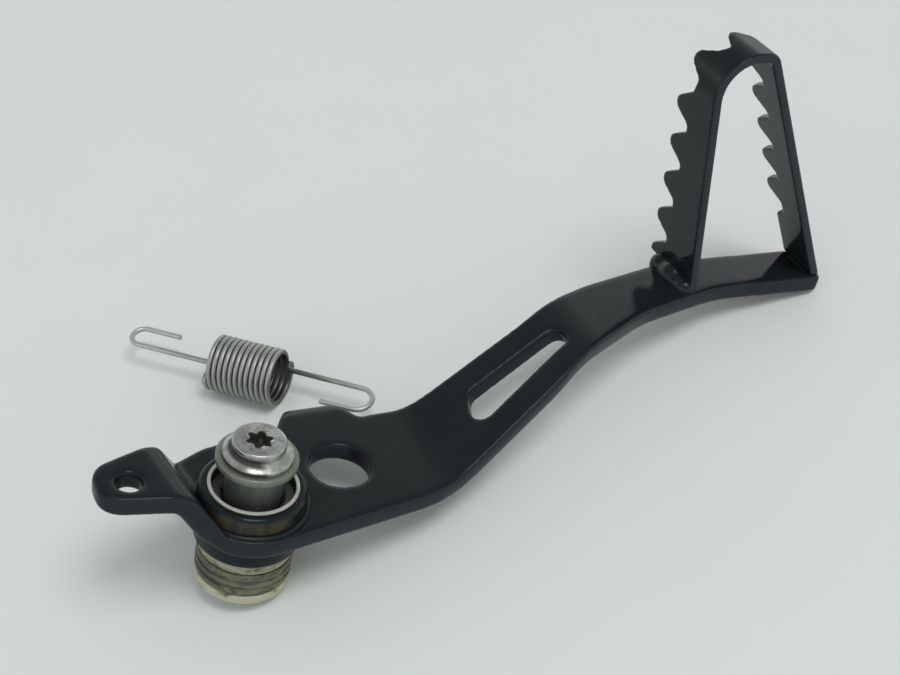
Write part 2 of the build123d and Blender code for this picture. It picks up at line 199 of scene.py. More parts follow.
class SpringSizes(bpy.types.PropertyGroup):
    """The return spring, lying on the bench."""

    wire: length("Wire", "Wire diameter", 1.69)
    coil_radius: length("Coil", "Radius of the coil's middle line", 8.1)
    coil_gap: length("Coil gap", "Gap between turns", 0.09)
    turns: count("Turns", "Number of turns", 13)
    middle: place("Middle", "Middle of the coil on the bench, seen from above", (25.8, 68.4, 0.0))
    turn: bpy.props.FloatProperty(
        name="Turn",
        description="How the spring lies on the bench",
        default=math.radians(-43.7),
        subtype="ANGLE",
    )
    hook_reach: length("Hook reach", "From the coil to a hook's far end", 30.0)
    hook_return: length("Hook return", "From the coil to a hook's open end", 15.0)
    hook_bend: length("Hook bend", "Bend from a hook's leg into the coil", 1.5)
    hook_turn: bpy.props.FloatProperty(
        name="Hook turn",
        description="Bend radius as a share of a hook's width",
        default=0.49,
        subtype="FACTOR",
    )
    left_leg: length("Left leg", "Offset of the left hook's leg", -0.9)
    left_back: length("Left return", "Offset of the left hook's return leg", 6.4)
    right_leg: length("Right leg", "Offset of the right hook's leg", -4.3)
    right_back: length("Right return", "Offset of the right hook's return leg", 5.1)
    sides: count("Sides", "Facets round the wire", 14)


class Finishes(bpy.types.PropertyGroup):
    """Colours of the finishes."""

    paint: colour("Paint", "Black paint", (0.0082, 0.0124, 0.0138))
    paint_worn: colour("Rubbed paint", "Paint where it is rubbed and dusty", (0.0108, 0.0150, 0.0164))
    # The two front colours are painted sheen: a lighter bluish tone that stands in for front light reflected
    # by forward faces, not dust
    lever_front_sheen: colour("Lever band", "Dusty paint on the lever's front edge", (0.017, 0.023, 0.027))
    step_front_sheen: colour("Step band", "Dusty paint on the step's front edges", (0.026, 0.034, 0.040))
    dust: colour("Dust", "Dust specks on the paint", (0.22, 0.23, 0.22))
    grease: colour("Grease", "Old brown grease", (0.040, 0.036, 0.024))
    rim: colour("Rim", "Cream of the upper bush's rim", (0.40, 0.425, 0.38))
    foot: colour("Foot", "Soiled cream of the lower bush", (0.30, 0.29, 0.19))
    washer: colour("Washer", "Yellowed cream of the seat washer", (0.40, 0.39, 0.28))
    grime: colour("Grime", "Oily grime", (0.045, 0.043, 0.024))
    spacer: colour("Spacer", "Stained plastic of the spacer", (0.175, 0.17, 0.105))
    spacer_dark: colour("Dark spacer", "The spacer's plastic where it is stained most", (0.095, 0.092, 0.05))
    rubber: colour("Rubber", "Seal rubber", (0.085, 0.09, 0.08))
    collar: colour("Collar", "Dull turned steel", (0.175, 0.192, 0.162))
    bolt: colour("Bolt", "Plated bolt steel", (0.49, 0.50, 0.465))
    spring: colour("Spring", "Plated spring wire", (0.51, 0.525, 0.495))


class StageSizes(bpy.types.PropertyGroup):
    """Floor, light and camera."""

    floor: colour("Floor", "Pale floor", (0.675, 0.705, 0.69))
    floor_reach: length("Floor reach", "Half of the floor's width", 3000.0)
    camera_place: place("Camera", "Where the camera stands", (-56.897, -260.022, 328.873))
    camera_look: direction("Look", "Where the camera looks", (0.30695749, 0.66595798, -0.67990961))
    camera_up: direction("Up", "The camera's up", (0.27867809, 0.6201923, 0.73328032))
    lens: bpy.props.FloatProperty(
        name="Lens", description="Focal length on a 36 mm wide sensor", default=60.0, unit="CAMERA"
    )
    key_place: place("Key", "Where the key light stands", (430.0, -730.0, 2600.0))
    key_width: length("Key width", "Width of the key light", 1250.0)
    key_power: power("Key power", "Power of the key light", 30.0)
    fill_place: place("Fill", "Where the fill light stands", (-1000.0, -500.0, 900.0))
    fill_width: length("Fill width", "Width of the fill light", 1200.0)
    fill_power: power("Fill power", "Power of the fill light", 2.0)


def bench_point(x, y, z):
    """A point of the pivot frame, as it lies on the bench."""
    seat = bpy.context.scene.pedal_pivot.seat_depth
    return LEAN @ Vector((x, y, z + seat))


def new_piece(name, mesh):
    """An object at the origin that holds a finished mesh."""
    piece = bpy.data.objects.new(name, mesh)
    bpy.context.scene.collection.objects.link(piece)
    return piece


def mesh_of(name, build):
    """A plain mesh from a filled BMesh, which is then freed."""
    mesh = bpy.data.meshes.new(name)
    build.to_mesh(mesh)
    build.free()
    return mesh


def bake(piece):
    """Turns a piece's modifiers into plain mesh."""
    bpy.context.view_layer.update()
    graph = bpy.context.evaluated_depsgraph_get()
    mesh = bpy.data.meshes.new_from_object(piece.evaluated_get(graph), depsgraph=graph)
    piece.modifiers.clear()
    old = piece.data
    piece.data = mesh
    bpy.data.meshes.remove(old)
    mesh.name = piece.name
    return mesh


def settle(piece, body, slot, material, *nodes):
    """Gives a finished piece its material and its body, and hides the nodes that it stands for; its slot is
    not used.
    """
    piece.data.materials.clear()
    piece.data.materials.append(material)
    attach(piece, body)
    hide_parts(*nodes)


FLAT_ANGLE = math.radians(0.4)
WELD_GAP = 2e-6


def flatten(build):
    """Runs faces in one plane together."""
    bmesh.ops.dissolve_limit(build, angle_limit=FLAT_ANGLE, verts=build.verts[:], edges=build.edges[:])


def merged_copy(node):
    """A merged copy of a node's loose triangles, with its flat faces run together."""
    mesh = frame["nodes"][node].data
    build = bmesh.new()
    corners = [build.verts.new(vertex.co) for vertex in mesh.vertices]
    for face in mesh.polygons:
        build.faces.new([corners[i] for i in face.vertices])
    bmesh.ops.remove_doubles(build, verts=build.verts[:], dist=WELD_GAP)
    flatten(build)
    return build


def joined_copy(name, nodes):
    """Merged copies of nodes that meet face to face, as one closed mesh."""
    whole = bmesh.new()
    for node in nodes:
        part = mesh_of(node, merged_copy(node))
        whole.from_mesh(part)
        bpy.data.meshes.remove(part)
    if len(nodes) > 1:
        bmesh.ops.remove_doubles(whole, verts=whole.verts[:], dist=WELD_GAP)
        whole.verts.index_update()
        seen = {}
        for face in whole.faces:
            seen.setdefault(frozenset(vertex.index for vertex in face.verts), []).append(face)
        inner = [face for faces in seen.values() if len(faces) > 1 for face in faces]
        bmesh.ops.delete(whole, geom=inner, context="FACES_ONLY")
        flatten(whole)
    return mesh_of(name, whole)


def reskin(piece, grain, strength, rounds):
    """Gives a piece an even skin of a grain, smooths it in rounds and bakes it."""
    skin = piece.modifiers.new("Even skin", "REMESH")
    skin.mode = "VOXEL"
    skin.voxel_size = grain
    skin.use_smooth_shade = True
    smooth = piece.modifiers.new("Smoothing", "SMOOTH")
    smooth.factor = strength
    smooth.iterations = rounds
    return bake(piece)


def keep_on_mesh(mesh, name, values):
    """Keeps a value for each vertex on a mesh, for its material."""
    mesh.attributes.new(name, "FLOAT", "POINT").data.foreach_set("value", values)


def share_between(value, low, high):
    """How far a value lies from low to high, from 0 to 1."""
    return min(1.0, max(0.0, (value - low) / (high - low)))


EDGE_ROLLING = 0.5

# Bend of the skin, in radians per metre, where an edge begins and where it is fully one
EDGE_FROM = 0.15 / MM
EDGE_TO = 0.6 / MM

# How squarely a face looks forward, where the painted sheen on front faces begins and where it is full
SHEEN_FROM = 1.7 / 3.3
SHEEN_TO = 2.7 / 3.3


def softened_copy(name, nodes, grain, rounds):
    """A copy of pressed nodes with edges rolled soft, its edges marked, and the faces that look forward
    marked for a painted sheen.
    """
    piece = new_piece(name, joined_copy(name, nodes))
    # The plate is laid level meanwhile, so that the skin's grain runs along it
    piece.data.transform(LEAN.inverted().to_4x4())
    mesh = reskin(piece, grain, EDGE_ROLLING, rounds)
    mesh.transform(LEAN.to_4x4())
    bends = [0.0] * len(mesh.vertices)
    for edge in mesh.edges:
        ends = [mesh.vertices[i] for i in edge.vertices]
        bend = ends[0].normal.angle(ends[1].normal, 0.0) / (ends[1].co - ends[0].co).length
        for vertex in ends:
            bends[vertex.index] = max(bends[vertex.index], bend)
    keep_on_mesh(mesh, "edge", [share_between(bend, EDGE_FROM, EDGE_TO) for bend in bends])
    # Painted sheen: how far each vertex faces forward, which sets how much of the lighter front tone it gets
    front_sheen_shares = [share_between(-vertex.normal.y, SHEEN_FROM, SHEEN_TO) for vertex in mesh.vertices]
    keep_on_mesh(mesh, "front_sheen", front_sheen_shares)
    return piece


ARC_STEP = math.radians(11.0)
SHARP_ANGLE = math.radians(40.0)


def rounded_line(points, rounds, closed=False):
    """A flat line through corner points, with a radius at each corner."""
    line = []
    last = len(points) - 1
    for i, point in enumerate(points):
        corner = Vector(point)
        if rounds[i] == 0 or (not closed and i in (0, last)):
            line.append(corner)
            continue
        before = (Vector(points[i - 1]) - corner).normalized()
        after = (Vector(points[(i + 1) % (last + 1)]) - corner).normalized()
        opening = before.angle(after)
        start = corner + before * rounds[i] / math.tan(opening / 2)
        centre = corner + (before + after).normalized() * rounds[i] / math.sin(opening / 2)
        swing = (math.pi - opening) * (1 if before.cross(after) < 0 else -1)
        steps = max(2, round(abs(swing) / ARC_STEP))
        for k in range(steps + 1):
            line.append(centre + Matrix.Rotation(swing * k / steps, 2) @ (start - centre))
    return line


def lobed(radius, lobe, angle):
    """Radius of a six-lobe outline."""
    return radius + lobe * math.cos(6 * angle)


def turned_mesh(name, profile, closed=True):
    """Turns (radius, height) or (radius, height, lobe) points about the pivot axis."""
    segments = bpy.context.scene.pedal_pivot.segments
    build = bmesh.new()
    rings = []
    for entry in profile:
        lobe = entry[2] if len(entry) > 2 else 0.0
        if entry[0] == 0:
            rings.append([build.verts.new(bench_point(0, 0, entry[1]))])
            continue
        ring = []
        for k in range(segments):
            angle = 2 * math.pi * k / segments
            radius = lobed(entry[0], lobe, angle)
            spot = (radius * math.cos(angle), radius * math.sin(angle), entry[1])
            ring.append(build.verts.new(bench_point(*spot)))
        rings.append(ring)
    pairs = list(zip(rings, rings[1:]))
    if closed:
        pairs.append((rings[-1], rings[0]))
    for low, high in pairs:
        for k in range(segments):
            n = (k + 1) % segments
            corners = [low[k % len(low)], low[n % len(low)], high[n % len(high)], high[k % len(high)]]
            build.faces.new(list(dict.fromkeys(corners)))
    bmesh.ops.recalc_face_normals(build, faces=build.faces[:])
    mesh = mesh_of(name, build)
    mesh.polygons.foreach_set("use_smooth", [True] * len(mesh.polygons))
    mesh.set_sharp_from_angle(angle=SHARP_ANGLE)
    return mesh


def turned_ring(name, points, rounds):
    """A turned piece with a closed section and a radius at each of its corners."""
    section = [tuple(point) for point in rounded_line(points, rounds, closed=True)]
    return new_piece(name, turned_mesh(name, section))


def join(tree, value, socket):
    """Links a socket to an input, or sets a plain value on it."""
    if isinstance(value, bpy.types.NodeSocket):
        tree.links.new(value, socket)
    else:
        socket.default_value = value


def chain(tree, kind, settings=(), **links):
    """Adds a node to a tree. A link is a socket or a value, under the input's name with _ for a space."""
    node = tree.nodes.new(kind)
    for label, value in settings:
        setattr(node, label, value)
    for label, value in links.items():
        join(tree, value, node.inputs[label.replace("_", " ")])
    return node


def reckon(tree, operation, first, second):
    """One sum on two values in a tree."""
    node = tree.nodes.new("ShaderNodeMath")
    node.operation = operation
    join(tree, first, node.inputs[0])
    join(tree, second, node.inputs[1])
    return node.outputs[0]


def begin_tree(name, inputs):
    """A geometry tree with named size inputs: the tree, its inputs' identifiers and sockets, and its path."""
    tree = bpy.data.node_groups.new(name, "GeometryNodeTree")
    tree.interface.new_socket("Geometry", in_out="OUTPUT", socket_type="NodeSocketGeometry")
    tree.interface.new_socket("Geometry", in_out="INPUT", socket_type="NodeSocketGeometry")
    identifiers = {}
    for label, kind, default in inputs:
        socket = tree.interface.new_socket(label, in_out="INPUT", socket_type=kind)
        if default is not None:
            socket.default_value = default
        identifiers[label] = socket.identifier
    given = tree.nodes.new("NodeGroupInput").outputs
    path = chain(tree, "GeometryNodeMeshToCurve", Mesh=given["Geometry"]).outputs[0]
    return tree, identifiers, given, path


def end_tree(tree, shape, material):
    """Ends a tree in real geometry with a material."""
    real = chain(tree, "GeometryNodeRealizeInstances", Geometry=shape).outputs[0]
    done = chain(tree, "GeometryNodeSetMaterial", Geometry=real, Material=material).outputs[0]
    tree.links.new(done, tree.nodes.new("NodeGroupOutput").inputs[0])


def bead_tree():
    """Overlapping dabs of uneven size along a path."""
    inputs = [
        ("Radius", "NodeSocketFloat", 1.0 * MM),
        ("Pitch", "NodeSocketFloat", 1.0 * MM),
        ("Uneven", "NodeSocketFloat", 0.1),
        ("Seed", "NodeSocketInt", 3),
        ("Material", "NodeSocketMaterial", None),
    ]
    tree, identifiers, given, path = begin_tree("WeldBead", inputs)
    spaced = chain(tree, "GeometryNodeResampleCurve", [("mode", "LENGTH")], Curve=path, Length=given["Pitch"])
    dab = chain(tree, "GeometryNodeMeshIcoSphere", Radius=given["Radius"], Subdivisions=4)
    size = chain(tree, "FunctionNodeRandomValue", Seed=given["Seed"])
    tree.links.new(reckon(tree, "SUBTRACT", 1.0, given["Uneven"]), size.inputs[2])
    laid = chain(
        tree,
        "GeometryNodeInstanceOnPoints",
        Points=spaced.outputs[0],
        Instance=dab.outputs[0],
        Scale=size.outputs[1],
    )
    end_tree(tree, laid.outputs[0], given["Material"])
    return tree, identifiers


CUT_END = 0.78


def wire_tree():
    """A round wire along a path, thinned at its cut ends."""
    inputs = [
        ("Wire", "NodeSocketFloat", 1.0 * MM),
        ("Sides", "NodeSocketInt", 12),
        ("Cut", "NodeSocketFloat", 0.2 * MM),
        ("Material", "NodeSocketMaterial", None),
    ]
    tree, identifiers, given, path = begin_tree("WoundWire", inputs)
    half = reckon(tree, "MULTIPLY", given["Wire"], 0.5)
    section = chain(tree, "GeometryNodeCurvePrimitiveCircle", Resolution=given["Sides"], Radius=half)
    run = tree.nodes.new("GeometryNodeSplineParameter").outputs["Length"]
    whole = tree.nodes.new("GeometryNodeSplineLength").outputs["Length"]
    near = reckon(tree, "MINIMUM", run, reckon(tree, "SUBTRACT", whole, run))
    taper = chain(tree, "ShaderNodeMapRange", Value=near, From_Max=given["Cut"], To_Min=CUT_END, To_Max=1.0)
    thinned = chain(tree, "GeometryNodeSetCurveRadius", Curve=path, Radius=taper.outputs[0])
    tube = chain(
        tree,
        "GeometryNodeCurveToMesh",
        Curve=thinned.outputs[0],
        Profile_Curve=section.outputs[0],
        Scale=tree.nodes.new("GeometryNodeInputRadius").outputs[0],
        Fill_Caps=True,
    )
    smooth = chain(tree, "GeometryNodeSetShadeSmooth", Geometry=tube.outputs[0])
    end_tree(tree, smooth.outputs[0], given["Material"])
    return tree, identifiers


def grow(piece, tree, identifiers, inputs):
    """Puts a geometry tree on a piece and sets its inputs."""
    nodes = piece.modifiers.new(tree.name, "NODES")
    nodes.node_group = tree
    for label, value in inputs.items():
        nodes[identifiers[label]] = value


BEAD_FLOW = 0.6


def lay_beads(name, tree, identifiers, inputs, points, rounds, ring):
    """A weld along a line of points: dabs by nodes, run together and smoothed in rounds."""
    edges = [(i, i + 1) for i in range(len(points) - 1)]
    if ring:
        edges.append((len(points) - 1, 0))
    mesh = bpy.data.meshes.new(name)
    mesh.from_pydata([bench_point(*point) for point in points], edges, [])
    piece = new_piece(name, mesh)
    grow(piece, tree, identifiers, inputs)
    weld = bpy.context.scene.pedal_weld
    reskin(piece, weld.fuse * math.sqrt(inputs["Radius"] / weld.rear_radius), BEAD_FLOW, rounds)
    return piece


class Recipe:
    """A material under construction on Object coordinates."""

    def __init__(self, name):
        self.material = bpy.data.materials.new(name)
        self.material.use_nodes = True
        self.tree = self.material.node_tree
        self.shader = self.tree.nodes["Principled BSDF"]
        self.object = self.tree.nodes.new("ShaderNodeTexCoord").outputs["Object"]
        turn = self.tree.nodes.new("ShaderNodeMapping")
        self.tree.links.new(self.object, turn.inputs["Vector"])
        turn.inputs["Rotation"].default_value = LEAN.inverted().to_euler()
        self.pivot = turn.outputs[0]

    def join(self, value, socket):
        """Links a socket to an input, or sets a plain value on it."""
        join(self.tree, value, socket)

    def noise(self, scale, detail=3.0, roughness=0.55, stretch=None, coordinates=None, distortion=0.0):
        """Noise of a scale in features per metre, stretched along an axis where asked."""
        source = coordinates or self.object
        if stretch:
            squeeze = self.tree.nodes.new("ShaderNodeMapping")
            self.tree.links.new(source, squeeze.inputs["Vector"])
            squeeze.inputs["Scale"].default_value = stretch
            source = squeeze.outputs[0]
        node = self.tree.nodes.new("ShaderNodeTexNoise")
        self.tree.links.new(source, node.inputs["Vector"])
        node.inputs["Scale"].default_value = scale
        node.inputs["Detail"].default_value = detail
        node.inputs["Roughness"].default_value = roughness
        node.inputs["Distortion"].default_value = distortion
        return node.outputs["Fac"]

    def cells(self, scale):
        """Distance to the nearest of scattered points, in cells per metre."""
        node = self.tree.nodes.new("ShaderNodeTexVoronoi")
        self.tree.links.new(self.object, node.inputs["Vector"])
        node.inputs["Scale"].default_value = scale
        return node.outputs["Distance"]

    def ramp(self, value, low, high, start=0.0, end=1.0):
        """Maps low..high to start..end, smoothly and clamped."""
        node = self.tree.nodes.new("ShaderNodeMapRange")
        node.interpolation_type = "SMOOTHSTEP"
        self.join(value, node.inputs["Value"])
        for label, number in (("From Min", low), ("From Max", high), ("To Min", start), ("To Max", end)):
            node.inputs[label].default_value = number
        return node.outputs["Result"]

    def maths(self, operation, a, b=0.0):
        """One sum on two values."""
        return reckon(self.tree, operation, a, b)

    def product(self, first, *others):
        """Values multiplied together."""
        for other in others:
            first = self.maths("MULTIPLY", first, other)
        return first

    def most(self, first, *others):
        """The largest of some values."""
        for other in others:
            first = self.maths("MAXIMUM", first, other)
        return first

    def blend(self, share, first, second):
        """A colour between two colours."""
        node = self.tree.nodes.new("ShaderNodeMix")
        node.data_type = "RGBA"
        self.join(share, node.inputs[0])
        self.join(self.rgba(first), node.inputs[6])
        self.join(self.rgba(second), node.inputs[7])
        return node.outputs[2]

    @staticmethod
    def rgba(value):
        """A socket as it is, or a colour with its fourth value."""
        return value if isinstance(value, bpy.types.NodeSocket) else (*value, 1.0)

    def parts(self, vector):
        """X, Y and Z of a vector."""
        node = self.tree.nodes.new("ShaderNodeSeparateXYZ")
        self.tree.links.new(vector, node.inputs[0])
        return node.outputs

    def radius(self):
        """Distance from the pivot axis."""
        x, y, _ = self.parts(self.pivot)
        return self.maths("SQRT", self.maths("ADD", self.product(x, x), self.product(y, y)))

    def attribute(self, name):
        """A value kept on the mesh."""
        node = self.tree.nodes.new("ShaderNodeAttribute")
        node.attribute_name = name
        return node.outputs["Fac"]

    def upward(self):
        """How far a face looks up."""
        return self.parts(self.tree.nodes.new("ShaderNodeNewGeometry").outputs["Normal"])[2]

    def bump(self, height, distance, strength=1.0, under=None):
        """A bump of a depth in metres."""
        node = self.tree.nodes.new("ShaderNodeBump")
        self.join(height, node.inputs["Height"])
        node.inputs["Distance"].default_value = distance
        node.inputs["Strength"].default_value = strength
        if under is not None:
            self.tree.links.new(under, node.inputs["Normal"])
        return node.outputs[0]

    def finish(self, base, roughness, normal=None, metallic=0.0, **sockets):
        """Joins the results to the shader."""
        self.join(self.rgba(base), self.shader.inputs["Base Color"])
        self.join(roughness, self.shader.inputs["Roughness"])
        self.join(metallic, self.shader.inputs["Metallic"])
        if normal is not None:
            self.tree.links.new(normal, self.shader.inputs["Normal"])
        for label, value in sockets.items():
            self.join(value, self.shader.inputs[label.replace("_", " ")])
        return self.material


def finishes():
    """The colours in use."""
    return bpy.context.scene.pedal_finishes


def pivot_sizes():
    """The pivot's sizes in use."""
    return bpy.context.scene.pedal_pivot


def dimmed(tone, share):
    """A colour at a share of its brightness."""
    return tuple(share * value for value in tone)


PAINT_GLOSS = 0.14
WELD_GLOSS = 0.2
RUBBED = (0.03, 0.033, 0.035)
ORANGE_PEEL = 9e-6
THICK_PEEL = 14e-6


def paint_base(recipe, orange_peel):
    """Colour, roughness and bump of the black paint, with dust and a handled rear half."""
    tone = finishes()
    cloud = recipe.noise(70.0, 4.0, 0.6)
    colour_now = recipe.blend(recipe.ramp(cloud, 0.35, 0.7), tone.paint, tone.paint_worn)
    specks = recipe.ramp(recipe.cells(260.0), 0.055, 0.09, 1.0, 0.0)
    chosen = recipe.ramp(recipe.noise(95.0, 1.0), 0.60, 0.64)
    dust = recipe.product(specks, chosen, recipe.ramp(recipe.upward(), 0.3, 0.8))
    colour_now = recipe.blend(recipe.product(dust, 0.55), colour_now, tone.dust)
    peel = recipe.noise(620.0, 2.0, 0.5)
    wave = recipe.noise(130.0, 2.0, 0.5)
    normal = recipe.bump(peel, orange_peel)
    normal = recipe.bump(wave, 3.0 * orange_peel, under=normal)
    rough = recipe.ramp(recipe.noise(210.0, 5.0, 0.65), 0.3, 0.75, 0.09, 0.16)
    rough = recipe.maths("ADD", rough, recipe.product(dust, 0.3))
    handled = recipe.ramp(recipe.parts(recipe.object)[0], 150.0 * MM, 100.0 * MM, 0.0, 0.09)
    return colour_now, recipe.maths("ADD", rough, handled), normal


def black_paint(name, sheen_tone):
    """Glossy black paint on pressed steel, rubbed along its rolled edges, with a painted sheen of front light
    on the faces that look forward.
    """
    recipe = Recipe(name)
    colour_now, rough, normal = paint_base(recipe, ORANGE_PEEL)
    # Painted sheen: forward faces turn towards a lighter bluish tone, in streaks, standing in for reflected
    # front light
    streaky_sheen = recipe.ramp(recipe.noise(140.0, 4.0, 0.6), 0.25, 0.75, 0.75, 1.0)
    colour_now = recipe.blend(recipe.product(recipe.attribute("front_sheen"), streaky_sheen), colour_now, sheen_tone)
    uneven = recipe.ramp(recipe.noise(330.0, 5.0, 0.7), 0.5, 0.72)
    rub = recipe.product(recipe.attribute("edge"), uneven)
    colour_now = recipe.blend(recipe.product(rub, 0.08), colour_now, RUBBED)
    rough = recipe.maths("ADD", rough, recipe.product(rub, 0.12))
    return recipe.finish(colour_now, rough, normal, Specular_IOR_Level=PAINT_GLOSS)


def weld_paint():
    """The same paint where it has flowed thick over the welds."""
    recipe = Recipe("weld_paint")
    colour_now, rough, normal = paint_base(recipe, THICK_PEEL)
    rough = recipe.maths("ADD", rough, 0.08)
    return recipe.finish(colour_now, rough, normal, Specular_IOR_Level=WELD_GLOSS)


def greasy_paint():
    """Black paint on the boss, with old brown grease on its front."""
    recipe = Recipe("greasy_paint")
    colour_now, rough, normal = paint_base(recipe, ORANGE_PEEL)
    x, y, z = recipe.parts(recipe.pivot)
    front = recipe.ramp(recipe.maths("ADD", y, recipe.product(x, 0.5)), -8.2 * MM, -13.6 * MM)
    sizes = pivot_sizes()
    top = sizes.seat_depth + sizes.boss_high
    above = recipe.ramp(z, top - 5.2 * MM, top - 4.4 * MM)
    below = recipe.ramp(z, top - 0.6 * MM, top - 1.6 * MM)
    patch = recipe.ramp(recipe.noise(230.0, 4.0, 0.6, distortion=0.6), 0.34, 0.56, 0.25, 1.0)
    smear = recipe.product(front, above, below, patch)
    colour_now = recipe.blend(smear, colour_now, finishes().grease)
    rough = recipe.maths("ADD", rough, recipe.product(smear, 0.22))
    normal = recipe.bump(recipe.noise(420.0, 4.0, 0.6), 4e-5, under=normal)
    return recipe.finish(colour_now, rough, normal, Specular_IOR_Level=PAINT_GLOSS)


# Colour of the painted shade inside the seal pocket
POCKET_SHADE = (0.016, 0.016, 0.012)


def cream_plastic(name, cream, grime_from, grime_to, shade_below=None):
    """Cream bush material, dirty in patches between two shares of noise, with painted shade below a height.
    """
    recipe = Recipe(name)
    blotch = recipe.noise(160.0, 5.0, 0.65, stretch=(1.0, 1.0, 2.2), coordinates=recipe.pivot)
    dirt = recipe.ramp(blotch, grime_from, grime_to)
    fine = recipe.ramp(recipe.noise(900.0, 3.0, 0.6), 0.4, 0.7, 0.86, 1.0)
    shade = recipe.blend(fine, dimmed(cream, 0.8), tuple(cream))
    colour_now = recipe.blend(dirt, shade, finishes().grime)
    if shade_below is not None:
        # Painted shade: below the given height the bush turns near black, standing in for the shade inside
        # the pocket
        _, _, z = recipe.parts(recipe.pivot)
        colour_now = recipe.blend(recipe.ramp(z, shade_below, shade_below - 0.5 * MM), colour_now, POCKET_SHADE)
    rough = recipe.ramp(dirt, 0.0, 1.0, 0.42, 0.3)
    return recipe.finish(colour_now, rough, recipe.bump(recipe.noise(500.0, 3.0, 0.6), 2e-5))


def seal_rubber():
    """Dull black rubber, greasy in places."""
    recipe = Recipe("seal_rubber")
    wet = recipe.ramp(recipe.noise(220.0, 4.0), 0.4, 0.65)
    colour_now = recipe.blend(wet, finishes().rubber, finishes().grease)
    rough = recipe.ramp(wet, 0.0, 1.0, 0.7, 0.3)
    return recipe.finish(colour_now, rough, recipe.bump(recipe.noise(700.0), 2e-5))


TOOL_PITCH = 0.16 * MM


def turned_steel():
    """Dull turned steel with fine tool marks and grease streaks on its sleeve."""
    recipe = Recipe("turned_steel")
    sizes = pivot_sizes()
    tone = finishes().collar
    _, _, z = recipe.parts(recipe.pivot)
    rings = recipe.maths("SINE", recipe.product(recipe.radius(), 2 * math.pi / TOOL_PITCH))
    lines = recipe.noise(2600.0, 2.0, 0.6, stretch=(0.02, 0.02, 1.0), coordinates=recipe.pivot)
    streak = recipe.noise(230.0, 4.0, 0.6, stretch=(1.0, 1.0, 0.12), coordinates=recipe.pivot)
    under = sizes.seat_depth + sizes.collar_under
    sleeve = recipe.ramp(z, under - 0.8 * MM, under - 2.1 * MM)
    oily = recipe.product(recipe.ramp(streak, 0.36, 0.62), recipe.ramp(sleeve, 0.0, 1.0, 0.25, 0.9))
    colour_now = recipe.blend(oily, tone, dimmed(tone, 0.55))
    rough = recipe.ramp(streak, 0.3, 0.7, 0.38, 0.5)
    normal = recipe.bump(lines, 1.2e-5)
    normal = recipe.bump(rings, 2e-6, under=normal)
    return recipe.finish(colour_now, rough, normal, metallic=0.6)


# Dark colour for the bolt's dirt specks and for its painted shade
BOLT_DIRT_AND_SHADE = (0.028, 0.027, 0.02)


def bolt_steel():
    """Plated bolt: satin flange, speckled head with dirt specks, and painted shade in its recess, under its
    head, at its joint and on its left side.
    """
    recipe = Recipe("bolt_steel")
    sizes = pivot_sizes()
    tone = finishes().bolt
    x, y, z = recipe.parts(recipe.pivot)
    radius = recipe.radius()
    foot = sizes.seat_depth + sizes.collar_high
    neck = foot + sizes.bolt_neck_high
    top = foot + sizes.bolt_head_high
    face = recipe.ramp(z, top - 0.5 * MM, top - 0.15 * MM)
    speckle = recipe.ramp(recipe.noise(820.0, 4.0, 0.7, distortion=0.4), 0.5, 0.63)
    off_ring = recipe.maths("ABSOLUTE", recipe.maths("SUBTRACT", radius, 4.3 * MM))
    spots = recipe.product(speckle, recipe.ramp(off_ring, 2.2 * MM, 0.6 * MM), face)
    # Painted shade under the head, all round the neck
    low = recipe.ramp(z, top - 2.2 * MM, top - 2.5 * MM)
    under = recipe.product(low, recipe.ramp(radius, 7.0 * MM, 6.6 * MM))
    # Painted shade filling the six-lobe recess
    sunk = recipe.ramp(z, top - 0.1 * MM, top - 0.7 * MM)
    recess_shade = recipe.product(sunk, recipe.ramp(radius, 4.1 * MM, 3.7 * MM))
    # Painted shade on the left, the shaded side: along the flange's rim and in a crescent at the neck
    left = recipe.ramp(recipe.maths("ADD", x, recipe.product(y, 0.35)), -2.0 * MM, -5.0 * MM)
    rim = recipe.product(left, recipe.ramp(z, foot + 1.4 * MM, foot + 0.9 * MM))
    # Painted shade all round the joint with the collar
    seam_shade = recipe.ramp(z, foot + 0.6 * MM, foot + 0.1 * MM, 0.0, 0.8)
    above = recipe.ramp(z, neck - 1.2 * MM, neck - 0.5 * MM)
    below = recipe.ramp(z, neck + 1.6 * MM, neck + 0.7 * MM)
    neck_crescent_shade = recipe.product(left, above, below)
    # The mask named dirt joins the real dirt specks with the painted shade under the head, in the recess, at
    # the rim, at the joint and at the neck
    specks_and_neck_shade = recipe.product(recipe.most(spots, under), 0.75)
    dirt = recipe.most(specks_and_neck_shade, recess_shade, rim, seam_shade, neck_crescent_shade)
    cloud = recipe.ramp(recipe.noise(200.0, 5.0, 0.65), 0.36, 0.64)
    colour_now = recipe.blend(dirt, recipe.blend(cloud, dimmed(tone, 0.55), tone), BOLT_DIRT_AND_SHADE)
    rough = recipe.ramp(recipe.noise(240.0, 5.0, 0.65), 0.3, 0.7, 0.26, 0.46)
    rough = recipe.maths("ADD", rough, recipe.product(dirt, 0.25))
    lines = recipe.noise(2600.0, 2.0, 0.6, stretch=(0.03, 0.03, 1.0), coordinates=recipe.pivot)
    normal = recipe.bump(lines, 6e-6)
    normal = recipe.bump(recipe.noise(700.0, 4.0, 0.6), 1.5e-5, under=normal)
    metal = recipe.maths("SUBTRACT", 1.0, recipe.product(dirt, 0.8))
    return recipe.finish(colour_now, rough, normal, metallic=metal)


